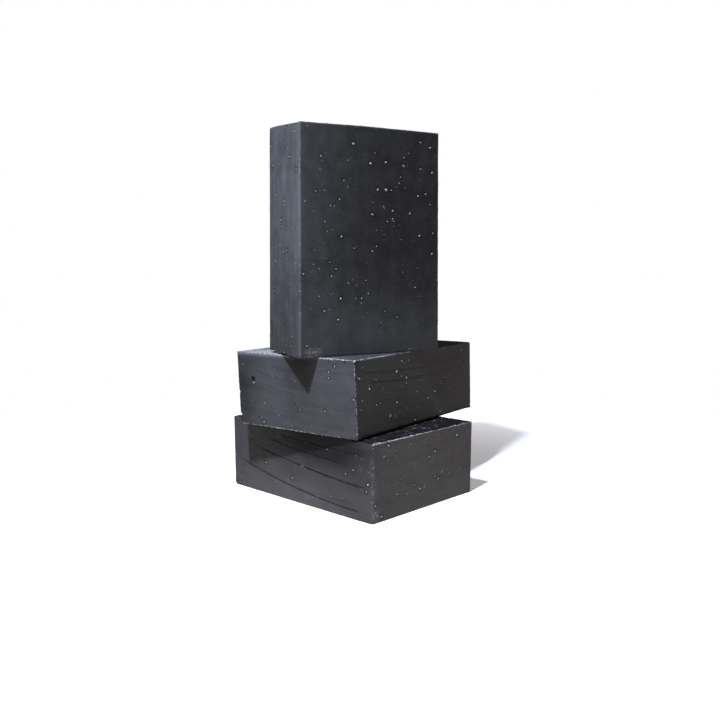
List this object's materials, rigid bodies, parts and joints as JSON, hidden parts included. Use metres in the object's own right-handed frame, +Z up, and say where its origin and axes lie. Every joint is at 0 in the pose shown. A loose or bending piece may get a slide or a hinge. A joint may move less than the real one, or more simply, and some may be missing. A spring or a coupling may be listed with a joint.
{
  "type": "charcoal bar stack",
  "caption": "Stack of plain black charcoal bars with pale grains, each turned on the one below; two lie flat and the top one stands on its end",
  "frame": {"origin": "centre of the lower bar's resting face, on the surface that the stack stands on", "axes": "+X along the lower bar's length, +Y across its width, +Z up"},
  "size_m": [0.0814, 0.0932, 0.1423],
  "materials": {
    "charcoal": "matte cut charcoal block, waxy, with fine drag lines",
    "grain": "matte pale mineral grain",
    "flake": "matte grey-beige flake"
  },
  "bodies": {
    "lower_bar": {"lower_bar": "charcoal", "lower_grains": "grain", "lower_flakes": "flake"},
    "middle_bar": {"middle_bar": "charcoal", "middle_grains": "grain", "middle_flakes": "flake"},
    "upper_bar": {"upper_bar": "charcoal", "upper_grains": "grain", "upper_flakes": "flake"}
  },
  "joints": [
    {"name": "middle_lift", "type": "slide", "parent": "lower_bar", "child": "middle_bar", "axis": [0, 0, 1], "range_m": [0, 0.06]},
    {"name": "upper_lift", "type": "slide", "parent": "middle_bar", "child": "upper_bar", "axis": [0, 0, 1], "range_m": [0, 0.06]}
  ]
}
